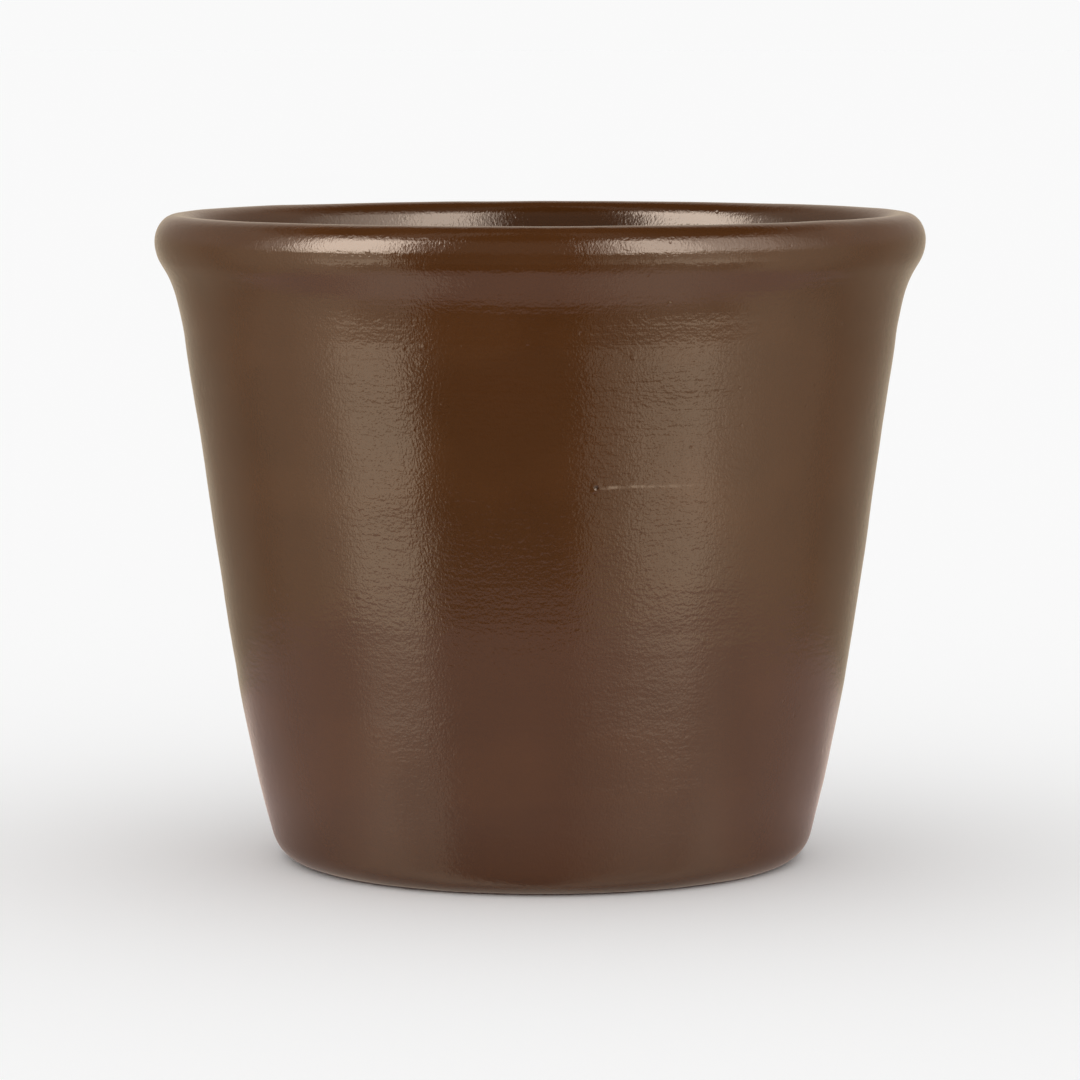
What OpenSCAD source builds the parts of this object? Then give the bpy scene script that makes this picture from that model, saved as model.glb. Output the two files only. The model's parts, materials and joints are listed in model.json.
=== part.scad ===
// Round flower pot of glazed terracotta, with a rolled rim and a drainage hole.
// One fired clay body carries two fused coats of glaze: one over the outside and
// the lip, one lining the inside. The foot ring and the underside are bare clay.
// The axis is Z, and the foot ring stands on z = 0.

/* [Pot] */
// Diameter across the rolled rim, over the glaze
rim_d = 160; // [154:1:175]
// Height from the table to the top of the lip, over the glaze
pot_h = 135; // [125:1:150]
// Outer diameter of the flat foot ring that the pot stands on
foot_d = 99; // [94:1:103]
// Radius of the round between the foot ring and the wall
corner_r = 7; // [5:0.5:9]

/* [Wall] */
// Thickness of the clay wall
wall_t = 5.5; // [4.5:0.5:7]
// Thickness of the clay floor at the drainage hole
floor_t = 8; // [7:0.5:10]
// Radius of the round between the floor and the wall, inside
well_r = 12; // [8:1:16]
// Lean of the wall just above the foot, in degrees from upright
foot_lean = 14.5; // [12:0.5:17]
// Lean of the wall at the neck, in degrees from upright
neck_lean = 10; // [8:0.5:12]

/* [Rim] */
// How far the widest line of the rim lies below the top of the lip
rim_drop = 5.5; // [5:0.25:6.5]
// Radius of the rolled rim below its widest line
roll_r = 9; // [7:0.5:11]
// Radius of the rolled rim above its widest line
brow_r = 6; // [5:0.25:7]
// Steepest lean of the underside of the roll, in degrees from upright
roll_lean = 33; // [28:1:38]
// Radius of the hollow neck under the roll
neck_r = 22; // [16:1:28]

/* [Foot] */
// Diameter of the drainage hole through the floor
drain_d = 12; // [8:1:20]
// Width of the flat foot ring
foot_w = 9; // [6:1:14]
// Depth of the shallow hollow inside the foot ring
hollow_h = 1.5; // [1:0.25:2]

/* [Glaze] */
// Thickness of each coat of glaze
glaze_t = 0.4; // [0.3:0.05:0.6]
// How far above the table the outside coat ends, where it is sponged off the foot
table_gap = 0.2; // [0.1:0.1:1.5]
// How far below the top of the lip the outside coat ends, inside the mouth
lip_run = 12; // [8:1:20]
// Width of bare clay left around the drainage hole, inside
drain_bare = 2; // [1:0.5:4]

/* [Hidden] */
$fn = 96;
clay_red = [0.70, 0.38, 0.25];
glaze_brown = [0.30, 0.18, 0.10];
liner_brown = [0.34, 0.21, 0.12];

// Clay surface sizes, under the glaze
rim_r = rim_d / 2 - glaze_t;
lip_z = pot_h - glaze_t;
foot_r = foot_d / 2;
drain_r = drain_d / 2;
rim_z = pot_h - rim_drop;

// Turn of the foot round, up from the table, that is left bare below the coat
bare_turn = acos((corner_r - table_gap) / (corner_r + glaze_t));

// Turn of the brow at which the tighter lip takes over, and the lip's radius,
// which makes its top reach lip_z
brow_turn = 38;
lip_r = (lip_z - rim_z - brow_r * sin(brow_turn)) / (1 - sin(brow_turn));
lip_c = [rim_r - brow_r, rim_z] + (brow_r - lip_r) * [cos(brow_turn), sin(brow_turn)];
// Lean of the inner face where it meets the lip
mouth_lean = 8.5;

// Steps along the outer wall, the inner wall, and the inner face between neck and lip
outer_steps = 20;
inner_steps = 16;
throat_steps = 6;

// Points along an arc of a circle, from angle a to angle b, each end included
function arc(c, r, a, b, n = 10) =
    [for (i = [0:n]) let (t = a + (b - a) * i / n) c + r * [cos(t), sin(t)]];

// Radius at height z on a smooth wall from point p to point q, each as
// [radius, height], with the given leans at its two ends
function wall_radius(z, p, q, lean_p, lean_q) =
    let (h = q.y - p.y, u = (z - p.y) / h)
    (2 * u ^ 3 - 3 * u ^ 2 + 1) * p.x + (u ^ 3 - 2 * u ^ 2 + u) * h * tan(lean_p)
    + (3 * u ^ 2 - 2 * u ^ 3) * q.x + (u ^ 3 - u ^ 2) * h * tan(lean_q);

// Points up such a wall, both ends left out because the arcs beside it have them
function wall(p, q, lean_p, lean_q, n) =
    [for (i = [1:n - 1]) let (z = p.y + (q.y - p.y) * i / n)
        [wall_radius(z, p, q, lean_p, lean_q), z]];

function reversed(path) = [for (i = [len(path) - 1:-1:0]) path[i]];
function part_of(path, a, b) = [for (i = [a:b]) path[i]];
function end_of(path) = path[len(path) - 1];
function past_start(path) = part_of(path, 1, len(path) - 1);
function between_ends(path) = part_of(path, 1, len(path) - 2);

// The same path moved sideways by d, to the right of the way it runs
function beside(path, d) =
    [for (i = [0:len(path) - 1])
        let (way = path[min(i + 1, len(path) - 1)] - path[max(i - 1, 0)])
        path[i] + d * [way.y, -way.x] / norm(way)];

// Outer clay face: foot round, wall, hollow neck, roll, brow
foot_c = [foot_r, corner_r];
foot_bare = arc(foot_c, corner_r, -90, bare_turn - 90, 4);
foot_round = arc(foot_c, corner_r, bare_turn - 90, -foot_lean, 6);
roll = arc([rim_r - roll_r, rim_z], roll_r, -roll_lean, 0);
neck_c = roll[0] + neck_r * [cos(roll_lean), -sin(roll_lean)];
neck = arc(neck_c, neck_r, 180 - neck_lean, 180 - roll_lean);
wall_foot = end_of(foot_round);
outer_wall = wall(wall_foot, neck[0], foot_lean, neck_lean, outer_steps);
brow = arc([rim_r - brow_r, rim_z], brow_r, 0, brow_turn, 6);
outer_face = concat(foot_round, outer_wall, neck, between_ends(roll), brow);

// Inner clay face, from the lip down to the floor. The inner wall keeps wall_t
// from the outer wall below the neck, and runs on from there up to the lip.
lip = arc(lip_c, lip_r, brow_turn, 180 - mouth_lean, 14);
inner_shift = wall_t / cos(neck_lean);
function inner_radius(z) =
    wall_radius(z, wall_foot, neck[0], foot_lean, neck_lean) - inner_shift;
mouth = [inner_radius(neck[0].y), neck[0].y];
throat = wall(mouth, end_of(lip), neck_lean, mouth_lean, throat_steps);
well_z = floor_t + well_r * (1 - sin(foot_lean));
inner_wall = [for (i = [0:inner_steps]) let (z = well_z + (mouth.y - well_z) * i / inner_steps)
    [inner_radius(z), z]];
well_c = inner_wall[0] - well_r * [cos(foot_lean), -sin(foot_lean)];
well = arc([well_c.x, floor_t + well_r], well_r, -foot_lean, -90);
floor_path = [[(well_c.x + drain_r) / 2, floor_t], [drain_r + drain_bare, floor_t]];
inner_face = concat(past_start(lip), reversed(throat), reversed(inner_wall),
    past_start(well), floor_path);

// Underside, from the foot round in to the axis: flat ring, then a shallow hollow
ring_in = foot_r - foot_w;
underside = [[0, hollow_h], [ring_in - 2 * hollow_h, hollow_h], [ring_in, 0]];

// The glazed path, and where its outside coat ends inside the mouth
glazed = concat(outer_face, inner_face);
coat = beside(glazed, glaze_t);
last = len(glazed) - 1;
lip_end = len(outer_face) + len(lip) - 1;
inside_from = [for (i = [lip_end:last]) if (glazed[i].y < pot_h - lip_run) i][0];

module glaze_coat(a, b) {
    rotate_extrude()
        polygon(concat(part_of(glazed, a, b), reversed(part_of(coat, a, b))));
}

module clay_body() {
    color(clay_red)
        difference() {
            rotate_extrude()
                polygon(concat(underside, foot_bare, past_start(glazed), [[0, floor_t]]));
            translate([0, 0, -floor_t])
                cylinder(r = drain_r, h = 3 * floor_t);
        }
}

module outside_glaze() {
    color(glaze_brown) glaze_coat(0, inside_from);
}

module inside_glaze() {
    color(liner_brown) glaze_coat(inside_from, last);
}

clay_body();
outside_glaze();
inside_glaze();
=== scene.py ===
import json
import math

import bmesh
import bpy
from mathutils import Matrix, Vector, noise
from mathutils.bvhtree import BVHTree


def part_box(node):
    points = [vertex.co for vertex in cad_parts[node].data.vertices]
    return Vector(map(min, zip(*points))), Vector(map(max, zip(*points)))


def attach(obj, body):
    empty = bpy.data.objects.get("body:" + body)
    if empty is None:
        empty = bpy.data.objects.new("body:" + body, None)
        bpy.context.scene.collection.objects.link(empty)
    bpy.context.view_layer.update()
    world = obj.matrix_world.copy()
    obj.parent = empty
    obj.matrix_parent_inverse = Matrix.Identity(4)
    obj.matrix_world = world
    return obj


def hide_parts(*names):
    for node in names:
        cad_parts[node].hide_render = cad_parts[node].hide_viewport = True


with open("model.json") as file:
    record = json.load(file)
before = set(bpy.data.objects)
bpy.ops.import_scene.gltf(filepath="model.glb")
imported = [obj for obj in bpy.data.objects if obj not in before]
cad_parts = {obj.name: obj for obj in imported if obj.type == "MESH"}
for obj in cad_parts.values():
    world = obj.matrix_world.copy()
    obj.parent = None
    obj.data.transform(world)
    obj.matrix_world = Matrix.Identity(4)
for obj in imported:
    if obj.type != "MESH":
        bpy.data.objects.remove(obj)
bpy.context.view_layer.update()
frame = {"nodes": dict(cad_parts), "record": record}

scene = bpy.context.scene
mm = 0.001

# Camera: in front of the pot and a little above the rim, tilted down, with a
# long lens so that the pot's sides hardly converge.
camera_back = 1.045
camera_up = 0.1714
camera_tilt = math.radians(5.738)
camera_data = bpy.data.cameras.new("camera")
camera_data.sensor_width = 36
camera_data.lens = 167
camera = bpy.data.objects.new("camera", camera_data)
camera.location = (-0.4 * mm, -camera_back, camera_up)
camera.rotation_euler = (math.pi / 2 - camera_tilt, 0, 0)
scene.collection.objects.link(camera)
scene.camera = camera


# Clay body: one lump of red clay thrown on a wheel, its rim folded outwards, its
# foot turned flat and its drainage hole cut while leather-hard, then fired.
# Only the foot, the underside and the hole's wall show: the rest is under glaze.
pot_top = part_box("outside_glaze")[1].z
pot_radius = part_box("outside_glaze")[1].x
foot_radius = 49.5 * mm
ring_width = 9 * mm
hole_radius = frame["record"]["mounts"][1]["dims"]["r_mm"] * mm
lap_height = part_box("inside_glaze")[1].z
groove_height = 111.5 * mm
groove_depth = 0.3 * mm
turns = 208
merge = 1e-6


def section_of(name, longest):
    """The outline of a node's wall, cut at its +X side, with no edge over longest."""
    cut = bmesh.new()
    cut.from_mesh(frame["nodes"][name].data)
    bmesh.ops.remove_doubles(cut, verts=cut.verts, dist=merge)
    bmesh.ops.bisect_plane(cut, geom=cut.verts[:] + cut.edges[:] + cut.faces[:], dist=merge,
                           plane_co=(0, 0, 0), plane_no=(0, 1, 0),
                           clear_inner=True, clear_outer=True)
    bmesh.ops.delete(cut, geom=[v for v in cut.verts if v.co.x < 0], context="VERTS")
    long_edges = [e for e in cut.edges if e.calc_length() > longest]
    while long_edges:
        bmesh.ops.subdivide_edges(cut, edges=long_edges, cuts=1)
        long_edges = [e for e in cut.edges if e.calc_length() > longest]
    return cut


def spin_up(section):
    """Turns a section once round the axis into a closed wall: a sixteenth of a turn is
    spun, then what there is is copied on, four times over."""
    bmesh.ops.spin(section, geom=section.verts[:] + section.edges[:], cent=(0, 0, 0),
                   axis=(0, 0, 1), angle=2 * math.pi / 16, steps=turns // 16, use_merge=False)
    for doubling in range(4):
        whole = section.verts[:] + section.edges[:] + section.faces[:]
        copied = bmesh.ops.duplicate(section, geom=whole)
        copied_verts = [g for g in copied["geom"] if isinstance(g, bmesh.types.BMVert)]
        onwards = Matrix.Rotation(2 * math.pi / 16 * 2 ** doubling, 3, "Z")
        bmesh.ops.rotate(section, verts=copied_verts, cent=(0, 0, 0), matrix=onwards)
    bmesh.ops.remove_doubles(section, verts=section.verts, dist=merge)
    bmesh.ops.recalc_face_normals(section, faces=section.faces)
    section.normal_update()


def bell(distance, width):
    """1 at no distance, falling smoothly to nearly 0 at twice the width."""
    return math.exp(-(distance / width) ** 2)


def as_thrown(co):
    """Where the potter's hands leave a point of the drawn shape: a little out of
    round, leaning a touch, pressed in by a finger under the rim, and with a wavy
    line where the two coats meet."""
    lift = co.z / pot_top
    angle = math.atan2(co.y, co.x)
    swell = lift * (0.0016 * math.sin(2 * angle + 0.6) + 0.0009 * math.sin(3 * angle + 2.0))
    swell += 0.004 * lift * noise.noise(co * 22)
    swell -= groove_depth / pot_radius * bell(co.z - groove_height, 4.5 * mm)
    tilt = 0.0022 * co.x * lift
    inside = 1 if math.hypot(co.x, co.y) < pot_radius - 6 * mm else 0
    tide = 1.1 * mm * noise.noise(Vector((math.cos(angle), math.sin(angle), 5)) * 1.6)
    tide *= inside * bell(co.z - lap_height, 7 * mm)
    return Vector((co.x * (1 + swell) - 0.4 * mm * lift, co.y * (1 + swell), co.z + tilt + tide))


def finished(mesh, name, material, replaced):
    square = math.radians(40)
    for face in mesh.faces:
        face.smooth = True
    for edge in mesh.edges:
        edge.smooth = edge.calc_face_angle(0) < square
    data = bpy.data.meshes.new(name)
    mesh.to_mesh(data)
    mesh.free()
    data.materials.append(material)
    piece = bpy.data.objects.new(name, data)
    scene.collection.objects.link(piece)
    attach(piece, "root")
    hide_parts(replaced)


def node(tree, kind, sockets, **settings):
    """Adds a shader node, setting or linking each of its sockets."""
    made = tree.nodes.new(kind)
    for name, value in settings.items():
        setattr(made, name, value)
    for name, value in sockets.items():
        if isinstance(value, bpy.types.NodeSocket):
            tree.links.new(value, made.inputs[name])
        else:
            made.inputs[name].default_value = value
    return made


def pattern(tree, place, size, detail=2.0, stretch=(1, 1, 1), distortion=0.0):
    """Cloudy noise whose blotches are about size across, stretched by stretch."""
    scaled = node(tree, "ShaderNodeMapping", {"Vector": place, "Scale": stretch})
    return node(tree, "ShaderNodeTexNoise", {
        "Vector": scaled.outputs["Vector"], "Scale": 1 / size, "Detail": detail,
        "Distortion": distortion}).outputs["Fac"]


def remap(tree, value, low, high, to_low, to_high, smooth=False):
    """Turns the range from low to high into another one, and stops at its ends."""
    return node(tree, "ShaderNodeMapRange", {
        "Value": value, "From Min": low, "From Max": high, "To Min": to_low, "To Max": to_high,
    }, interpolation_type="SMOOTHSTEP" if smooth else "LINEAR").outputs["Result"]


def maths(tree, kind, a, b=0.0):
    return node(tree, "ShaderNodeMath", {0: a, 1: b}, operation=kind).outputs[0]


def add(tree, first, *others):
    total = first
    for other in others:
        total = maths(tree, "ADD", total, other)
    return total


def parts_of(tree, vector):
    """The X, Y and Z of a vector."""
    return node(tree, "ShaderNodeSeparateXYZ", {"Vector": vector}).outputs


def length_of(tree, vector):
    return node(tree, "ShaderNodeVectorMath", {0: vector}, operation="LENGTH").outputs["Value"]


def blend_value(tree, share, a, b):
    return node(tree, "ShaderNodeMix", {"Factor": share, "A": a, "B": b}).outputs["Result"]


def blend_colour(tree, share, a, b):
    mixed = node(tree, "ShaderNodeMix", {"Factor": share}, data_type="RGBA")
    for socket, colour in ((6, a), (7, b)):
        if isinstance(colour, bpy.types.NodeSocket):
            tree.links.new(colour, mixed.inputs[socket])
        else:
            mixed.inputs[socket].default_value = (*colour, 1)
    return mixed.outputs[2]


def fired_clay():
    material = bpy.data.materials.new("fired_clay")
    material.use_nodes = True
    tree = material.node_tree
    shader = tree.nodes["Principled BSDF"]
    place = node(tree, "ShaderNodeTexCoord", {}).outputs["Object"]
    cloud = pattern(tree, place, 14 * mm, detail=4)
    grain = pattern(tree, place, 0.8 * mm, detail=3)
    grog = pattern(tree, place, 1.6 * mm, detail=1)
    turned = pattern(tree, place, 1 * mm, detail=2, stretch=(0.02, 0.02, 1))
    tone = blend_colour(tree, remap(tree, cloud, 0.35, 0.65, 0, 1),
                        (0.40, 0.15, 0.075), (0.52, 0.23, 0.125))
    tone = blend_colour(tree, remap(tree, grain, 0.4, 0.7, 0, 0.45), tone, (0.30, 0.11, 0.06))
    tone = blend_colour(tree, remap(tree, grog, 0.68, 0.74, 0, 0.6), tone, (0.66, 0.42, 0.28))

    # Towards the foot's edge the clay is stained brown, where glaze was sponged off it.
    across = node(tree, "ShaderNodeVectorMath", {0: place, 1: (1, 1, 0)}, operation="MULTIPLY").outputs[0]
    reach = add(tree, length_of(tree, across), remap(tree, cloud, 0, 1, -2 * mm, 2 * mm))
    stain = remap(tree, reach, foot_radius - 2 * mm, foot_radius + 0.5 * mm, 0, 0.85)
    tone = blend_colour(tree, stain, tone, (0.075, 0.028, 0.010))
    tree.links.new(tone, shader.inputs["Base Color"])
    tree.links.new(remap(tree, cloud, 0.3, 0.7, 0.78, 0.94), shader.inputs["Roughness"])
    height = add(tree,
                 remap(tree, grain, 0, 1, 0, 0.07 * mm),
                 remap(tree, grog, 0.6, 0.8, 0, 0.05 * mm),
                 remap(tree, turned, 0, 1, 0, 0.05 * mm))
    bump = node(tree, "ShaderNodeBump", {"Height": height, "Strength": 1, "Distance": 1})
    tree.links.new(bump.outputs["Normal"], shader.inputs["Normal"])
    return material


clay_mesh = section_of("clay_body", 1.5 * mm)
spin_up(clay_mesh)
rims_of_hole = [e for e in clay_mesh.edges if e.calc_face_angle(0) > math.radians(60)
                and all(abs(math.hypot(v.co.x, v.co.y) - hole_radius) < 0.01 * mm for v in e.verts)]
ring_edges = [e for e in clay_mesh.edges if e.calc_face_angle(0) > math.radians(15)
              and all(v.co.z < 1.6 * mm and math.hypot(v.co.x, v.co.y) > 30 * mm for v in e.verts)]
bmesh.ops.bevel(clay_mesh, geom=rims_of_hole, offset=0.8 * mm, segments=3, profile=0.5,
                affect="EDGES", material=-1)
bmesh.ops.bevel(clay_mesh, geom=ring_edges, offset=0.7 * mm, segments=2, profile=0.5,
                affect="EDGES", material=-1)
clay_mesh.normal_update()
for v in clay_mesh.verts:
    reach = math.hypot(v.co.x, v.co.y)
    underneath = v.normal.z < -0.5 and v.co.z < 3 * mm and reach < foot_radius - ring_width
    if underneath:
        turning_ring = 0.06 * mm * math.sin(reach / (0.55 * mm))
        v.co.z += turning_ring + 0.10 * mm * noise.noise(v.co * 90)
    v.co = as_thrown(v.co)
finished(clay_mesh, "clay_body_fired", fired_clay(), "clay_body")


# Outside glaze: the pot is dipped upside down in a brown slip glaze, which melts
# into a glassy coat 0.4 mm thick over the outside, the rim and the top of the
# inside. It breaks thinner and redder over the throwing ridges and the lip.
coat_thickness = 0.4 * mm


def throwing_marks(co):
    """How far the surface stands proud at a point, in metres: broad waves, rings left
    by the fingers, and the slow lumps of hand work."""
    spiral = math.atan2(co.y, co.x) / (2 * math.pi)
    waves = noise.noise(Vector((co.x * 7, co.y * 7, (co.z + 6 * mm * spiral) * 75)))
    rings = noise.noise(Vector((co.x * 14, co.y * 14, co.z * 260 + 3)))
    fine = noise.noise(Vector((co.x * 24, co.y * 24, co.z * 620 + 9)))
    lumps = noise.noise(co * 75 + Vector((4, 0, 0)))
    return (0.13 * waves + 0.025 * rings + 0.008 * fine + 0.11 * lumps) * mm


clay_copy = bmesh.new()
clay_copy.from_mesh(frame["nodes"]["clay_body"].data)
clay_surface = BVHTree.FromBMesh(clay_copy)
clay_copy.free()


def glazed(mesh):
    """Raises the throwing marks on the side of a coat that faces away from the clay,
    keeps how thin the coat is there, and sets the coat on the pot as it was thrown."""
    thin = mesh.verts.layers.float.new("thin")
    for v in mesh.verts:
        nearest, _, _, gap = clay_surface.find_nearest(v.co)
        mark = throwing_marks(v.co)
        v[thin] = mark / (0.1 * mm)
        v.co = as_thrown(v.co + (v.co - nearest) * min(1 / coat_thickness, 1 / max(gap, merge)) * mark)


def dots(tree, place, apart):
    """How far a point is from the nearest of many dots, as a share of their distance apart."""
    return node(tree, "ShaderNodeTexVoronoi", {"Vector": place, "Scale": 1 / apart}).outputs["Distance"]


# Ridges that a fingernail left, each with its height, and where it starts and ends in
# degrees round from the front.
fingernail_ridges = ((83.6 * mm, 8.7, 30), (61 * mm, -152, -130), (97 * mm, 142, 176))


def ridge(tree, place, up, start, end):
    """A fine line round the wall, 1 on its crest where it starts and fading to 0 at its
    sides and its end, and how far each point is from the pit that it starts at."""
    wall_radius = 0.85 * pot_radius
    parts = parts_of(tree, place)
    forward = maths(tree, "MULTIPLY", parts["Y"], -1.0)
    around = maths(tree, "ARCTAN2", parts["X"], forward)
    level = maths(tree, "SUBTRACT", parts["Z"], up)
    past = maths(tree, "MULTIPLY", maths(tree, "SUBTRACT", around, math.radians(start)), wall_radius)
    away = length_of(tree, node(tree, "ShaderNodeCombineXYZ", {"X": past, "Y": level}).outputs["Vector"])
    begun = remap(tree, past, 0.5 * mm, 2 * mm, 0, 1)
    fading = remap(tree, past, 0, math.radians(end - start) * wall_radius, 1, 0)
    along = maths(tree, "MULTIPLY", begun, fading)
    wander = remap(tree, pattern(tree, place, 5 * mm, detail=1), 0.3, 0.7, -0.1 * mm, 0.1 * mm)
    crest = remap(tree, maths(tree, "ABSOLUTE", add(tree, level, wander)), 0.1 * mm, 0.5 * mm, 1, 0)
    broken = remap(tree, pattern(tree, place, 1.6 * mm, detail=1), 0.40, 0.58, 0.35, 1)
    return maths(tree, "MULTIPLY", maths(tree, "MULTIPLY", along, crest), broken), away


def brown_glaze(name, seed, ridges):
    """Glassy brown glaze. The seed moves its patterns, so that two coats differ."""
    material = bpy.data.materials.new(name)
    material.use_nodes = True
    tree = material.node_tree
    shader = tree.nodes["Principled BSDF"]
    place = node(tree, "ShaderNodeTexCoord", {}).outputs["Object"]
    place = node(tree, "ShaderNodeMapping", {"Vector": place, "Location": (seed, 0, 0)}).outputs["Vector"]
    height_up = parts_of(tree, place)["Z"]
    thin = node(tree, "ShaderNodeAttribute", {}, attribute_name="thin").outputs["Fac"]
    ridge_lines = [ridge(tree, place, up, start, end) for up, start, end in ridges]

    # Colour: brown, a touch redder in clouds and where the coat runs thin over a wave,
    # paler along a ridge where the glaze breaks thin, with a painted highlight on its crest, and painted
    # shade, nearly black, in the pit that the ridge starts at.
    cloud = pattern(tree, place, 30 * mm, detail=3)
    tone = blend_colour(tree, remap(tree, cloud, 0.35, 0.65, 0, 1),
                        (0.072, 0.0248, 0.0064), (0.079, 0.0268, 0.0070))
    tone = blend_colour(tree, remap(tree, thin, 0.1, 0.9, 0, 0.2), tone, (0.12, 0.045, 0.014))
    for crest, away in ridge_lines:
        # Painted highlight: the crest is lightened to tan, partly the glaze breaking paler, partly standing
        # in for the light it catches.
        tone = blend_colour(tree, remap(tree, crest, 0.05, 0.8, 0, 0.55), tone, (0.32, 0.22, 0.15))
        # Painted shade: the pit the ridge starts at is coloured nearly black.
        tone = blend_colour(tree, remap(tree, away, 0.2 * mm, 0.6 * mm, 0.8, 0), tone, (0.02, 0.008, 0.003))
    tree.links.new(tone, shader.inputs["Base Color"])
    tree.links.new(remap(tree, cloud, 0.3, 0.7, 0.045, 0.085), shader.inputs["Roughness"])
    shader.inputs["IOR"].default_value = 1.65

    # Relief: long low ripples, orange peel, sandy grain under the melt, the lines of the
    # potter's rib near the neck, pinholes and pimples.
    ripple = pattern(tree, place, 1.9 * mm, detail=2, stretch=(0.8, 0.8, 1.9), distortion=0.3)
    peel = pattern(tree, place, 0.95 * mm, detail=1, stretch=(1, 1, 1.2))
    grain = pattern(tree, place, 0.5 * mm, detail=1, stretch=(1.2, 1.2, 0.8))
    rib = pattern(tree, place, 0.8 * mm, detail=1, stretch=(0.02, 0.02, 1))
    rib_depth = remap(tree, height_up, 70 * mm, 110 * mm, 0.010 * mm, 0.034 * mm)
    pits = dots(tree, place, 7 * mm)
    pimples = dots(tree, place, 10 * mm)
    specks = dots(tree, place, 1.5 * mm)
    height = add(tree,
                 remap(tree, ripple, 0, 1, 0, 0.048 * mm),
                 remap(tree, peel, 0, 1, 0, 0.030 * mm),
                 remap(tree, grain, 0, 1, 0, 0.036 * mm),
                 maths(tree, "MULTIPLY", rib, rib_depth),
                 remap(tree, pits, 0.01, 0.07, -0.05 * mm, 0, smooth=True),
                 remap(tree, pimples, 0.01, 0.08, 0.05 * mm, 0, smooth=True),
                 remap(tree, specks, 0.02, 0.16, 0.014 * mm, 0, smooth=True))
    for crest, away in ridge_lines:
        height = add(tree, height,
                     remap(tree, crest, 0, 1, 0, 0.018 * mm),
                     remap(tree, away, 0.4 * mm, 1.4 * mm, 0.06 * mm, 0, smooth=True),
                     remap(tree, away, 0, 0.6 * mm, -0.2 * mm, 0, smooth=True))
    bump = node(tree, "ShaderNodeBump", {"Height": height, "Strength": 1, "Distance": 1})
    tree.links.new(bump.outputs["Normal"], shader.inputs["Normal"])
    return material


def off_clay(co):
    return clay_surface.find_nearest(co)[3] > coat_thickness / 2


def smooth_free_side(section):
    """Eases the corners of a coat's free side, and leaves its two ends square."""
    free = [v for v in section.verts if off_clay(v.co)
            and all(off_clay(e.other_vert(v).co) for e in v.link_edges)]
    for _ in range(3):
        bmesh.ops.smooth_vert(section, verts=free, factor=0.5,
                              use_axis_x=True, use_axis_y=True, use_axis_z=True)


def round_edges(mesh, edges, width):
    """Melts sharp edges round, as glaze does."""
    bmesh.ops.bevel(mesh, geom=edges, offset=width, segments=3, profile=0.5,
                    affect="EDGES", material=-1)


def square_edges(mesh, low, high):
    """The square edges of a mesh between two heights."""
    return [e for e in mesh.edges if e.calc_face_angle(0) > math.radians(50)
            and all(low < v.co.z < high for v in e.verts)]


outside_mesh = section_of("outside_glaze", 1.0 * mm)
smooth_free_side(outside_mesh)
spin_up(outside_mesh)
foot_end = [e for e in square_edges(outside_mesh, 0, 3 * mm) if all(off_clay(v.co) for v in e.verts)]
round_edges(outside_mesh, foot_end, 0.7 * coat_thickness)
outside_mesh.normal_update()
glazed(outside_mesh)
finished(outside_mesh, "outside_glaze_coat", brown_glaze("glaze_outside", 0.0, fingernail_ridges),
         "outside_glaze")


# Inside glaze: the same glaze, poured in, swilled round and poured out, so that it
# lines the wall and floor and stops short of the drainage hole.
inside_mesh = section_of("inside_glaze", 1.5 * mm)
smooth_free_side(inside_mesh)
spin_up(inside_mesh)
drain_end = [e for e in square_edges(inside_mesh, 0, 12 * mm) if all(off_clay(v.co) for v in e.verts)]
round_edges(inside_mesh, drain_end, 0.7 * coat_thickness)
inside_mesh.normal_update()
glazed(inside_mesh)
finished(inside_mesh, "inside_glaze_coat", brown_glaze("glaze_inside", 0.37, ()),
         "inside_glaze")


# Studio: a pale floor in a pale, evenly lit room, and what the glaze mirrors: two
# tall soft boxes left and right of the camera, a dark gap between them, and a small
# glowing card under the pot, a painted reflection of a lit table top, which ends not far in front of it.
def shape_ramp(tree, place, stops):
    """A brightness that follows a ramp, whose stops are each a place and a brightness."""
    made = node(tree, "ShaderNodeValToRGB", {"Fac": place})
    ramp = made.color_ramp
    ramp.interpolation = "EASE"
    while len(ramp.elements) > 1:
        ramp.elements.remove(ramp.elements[-1])
    ramp.elements[0].position = stops[0][0]
    ramp.elements[0].color = (stops[0][1],) * 3 + (1,)
    for position, glow in stops[1:]:
        ramp.elements.new(position).color = (glow, glow, glow, 1)
    return made.outputs["Color"]


def round_the_room(*stops):
    """Ramp stops from pairs of degrees round from the front and brightness."""
    return [((degrees + 180) / 360, glow) for degrees, glow in stops]


def up_the_room(*stops):
    """Ramp stops from pairs of degrees above the horizon and brightness."""
    return [((math.sin(math.radians(degrees)) + 1) / 2, glow) for degrees, glow in stops]


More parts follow.
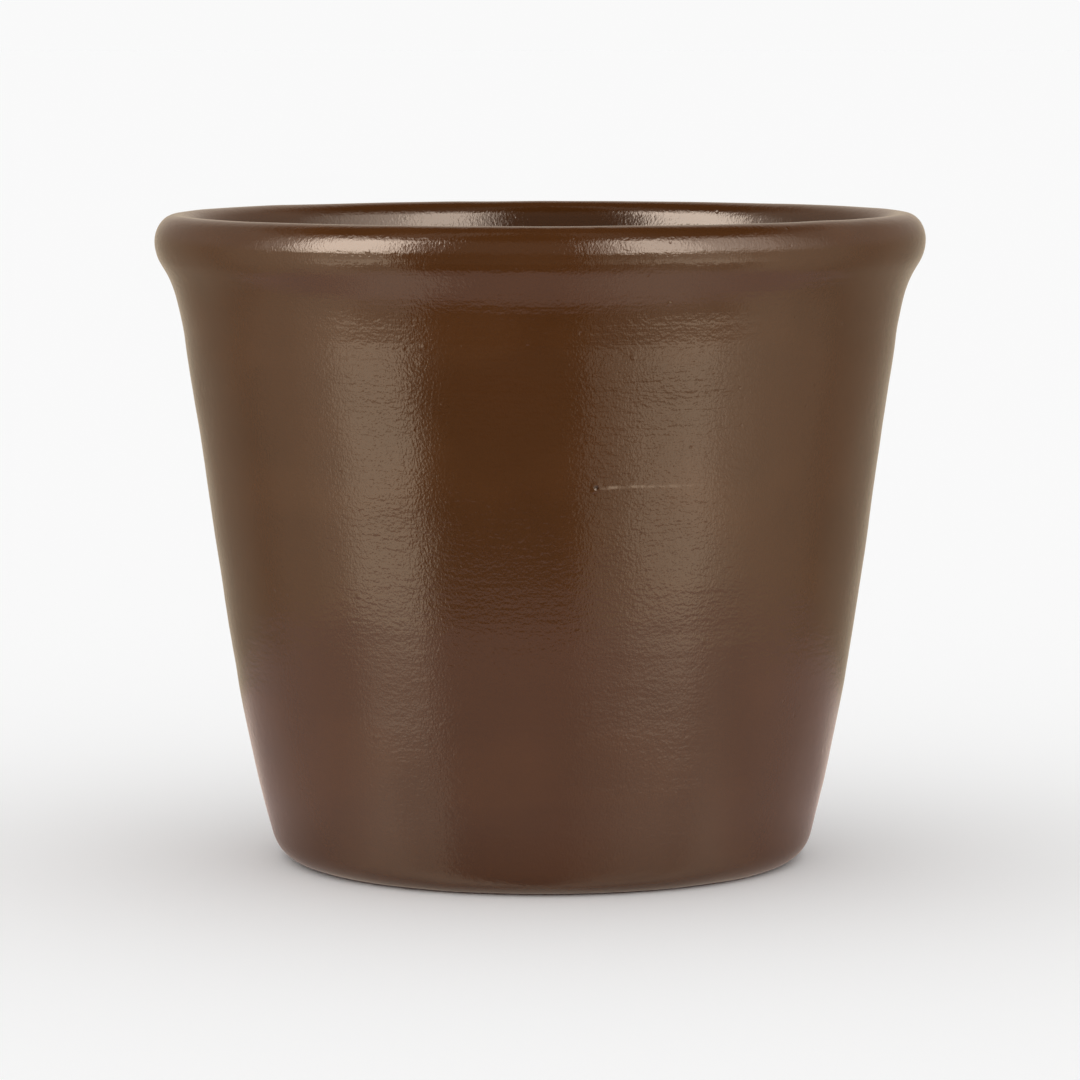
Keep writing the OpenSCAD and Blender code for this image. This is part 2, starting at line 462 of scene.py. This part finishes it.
def studio_light():
    """An even pale room, but for what the glaze mirrors, which changes with direction."""
    world = bpy.data.worlds.new("studio")
    world.use_nodes = True
    tree = world.node_tree
    heading = parts_of(tree, node(tree, "ShaderNodeTexCoord", {}).outputs["Generated"])
    forward = maths(tree, "MULTIPLY", heading["Y"], -1.0)
    azimuth = maths(tree, "ARCTAN2", heading["X"], forward)
    across = remap(tree, azimuth, -math.pi, math.pi, 0, 1)
    up = heading["Z"]

    # The soft boxes as the upper half of the room shows them, then the lower half.
    above = shape_ramp(tree, across, round_the_room(
        (-180, 0.06), (-140, 0.04), (-100, 0.05), (-83, 0.15), (-73, 0.66), (-68, 0.84),
        (-47, 0.84), (-41, 0.54), (-35, 0.10), (-26, 0.02), (12, 0.02), (17, 0.14), (22, 0.30),
        (30, 0.64), (44, 0.60), (54, 0.34), (70, 0.23), (84, 0.12), (100, 0.05), (140, 0.04),
        (180, 0.06)))
    below = shape_ramp(tree, across, round_the_room(
        (-180, 0.07), (-140, 0.045), (-115, 0.042), (-95, 0.072), (-77, 0.105), (-64, 0.20),
        (-46, 0.20), (-39, 0.04), (-33, 0.01), (13, 0.01), (18, 0.06), (30, 0.09), (36, 0.16),
        (56, 0.19), (66, 0.12), (84, 0.092), (96, 0.072), (115, 0.042), (140, 0.045), (180, 0.07)))

    # In front, the lower half dims towards the ground; at the sides it hardly does.
    slope = shape_ramp(tree, remap(tree, up, -1, 1, 0, 1), up_the_room(
        (-90, 0.4), (-48, 0.45), (-36, 0.36), (-30, 0.33), (-25, 0.5), (-21, 1.0), (-17, 1.0),
        (-10, 0.7), (0, 0.6), (90, 1.0)))
    aside = remap(tree, maths(tree, "ABSOLUTE", azimuth), math.radians(62), math.radians(78), 0, 1)
    lower = maths(tree, "MULTIPLY", below, blend_value(tree, aside, slope, 0.85))

    # From the lower half to the upper, which fades out overhead.
    rise = remap(tree, up, math.sin(math.radians(-1)), math.sin(math.radians(11)), 0, 1)
    fade = remap(tree, up, math.sin(math.radians(38)), math.sin(math.radians(54)), 10, 0.4)
    glow = maths(tree, "MULTIPLY", blend_value(tree, rise, lower, above), fade)
    tint = blend_colour(tree, rise, (1, 0.83, 0.62), (1, 0.84, 0.70))
    mirrored = node(tree, "ShaderNodeBackground", {"Color": tint, "Strength": glow})

    ray = node(tree, "ShaderNodeLightPath", {}).outputs
    pale = node(tree, "ShaderNodeBackground", {
        "Color": (1, 1, 1, 1), "Strength": remap(tree, ray["Is Camera Ray"], 0, 1, 1, 0.95)})
    both = node(tree, "ShaderNodeMixShader", {
        0: ray["Is Glossy Ray"], 1: pale.outputs[0], 2: mirrored.outputs[0]})
    tree.links.new(both.outputs[0], tree.nodes["World Output"].inputs["Surface"])
    return world


def disc(name, radius, height, material):
    """A flat round stage piece."""
    sheet = bmesh.new()
    bmesh.ops.create_circle(sheet, cap_ends=True, segments=96, radius=radius)
    bmesh.ops.translate(sheet, verts=sheet.verts, vec=(0, 0, height))
    data = bpy.data.meshes.new(name)
    sheet.to_mesh(data)
    sheet.free()
    data.materials.append(material)
    piece = bpy.data.objects.new(name, data)
    scene.collection.objects.link(piece)
    return piece


def pale_floor():
    material = bpy.data.materials.new("pale_floor")
    material.use_nodes = True
    shader = material.node_tree.nodes["Principled BSDF"]
    shader.inputs["Base Color"].default_value = (0.95, 0.95, 0.95, 1)
    shader.inputs["Roughness"].default_value = 0.9
    shader.inputs["Specular IOR Level"].default_value = 0.0
    return material


def painted_table_reflection():
    """A glowing card standing in for the table top as the glaze mirrors it, a painted reflection:
    dimmed by painted shadow close to the pot, more see-through in front than at its sides, and gone past
    its edge."""
    material = bpy.data.materials.new("painted_table_reflection")
    material.use_nodes = True
    tree = material.node_tree
    tree.nodes.remove(tree.nodes["Principled BSDF"])
    place = node(tree, "ShaderNodeTexCoord", {}).outputs["Object"]
    reach = length_of(tree, place)
    aside = maths(tree, "DIVIDE", maths(tree, "ABSOLUTE", parts_of(tree, place)["X"]), reach)
    past_edge = remap(tree, reach, 190 * mm, 240 * mm, 0, 1)
    see_through = blend_value(tree, past_edge, remap(tree, aside, 0.7, 0.9, 0.55, 0.2), 1.0)
    # Painted shadow: the card glows dimmer within 80 mm of the pot, as if the pot shaded the table there.
    glow_with_painted_shadow = maths(tree, "MULTIPLY", remap(tree, reach, 50 * mm, 80 * mm, 0.2, 0.45),
                maths(tree, "SUBTRACT", 1.0, past_edge))
    glow = node(tree, "ShaderNodeEmission", {"Color": (1, 0.78, 0.75, 1), "Strength": glow_with_painted_shadow})
    clear = node(tree, "ShaderNodeBsdfTransparent", {"Color": see_through})
    both = node(tree, "ShaderNodeAddShader", {0: glow.outputs[0], 1: clear.outputs[0]})
    tree.links.new(both.outputs[0], tree.nodes["Material Output"].inputs["Surface"])
    return material


floor = disc("floor", 60.0, 0, pale_floor())
floor.visible_glossy = False
# A glowing card that only glossy rays see: a painted reflection of a lit table top.
table = disc("glowing_table_card", 0.26, 0.1 * mm, painted_table_reflection())
table.visible_camera = False
table.visible_diffuse = False
table.visible_shadow = False
scene.world = studio_light()
scene.view_settings.view_transform = "Standard"
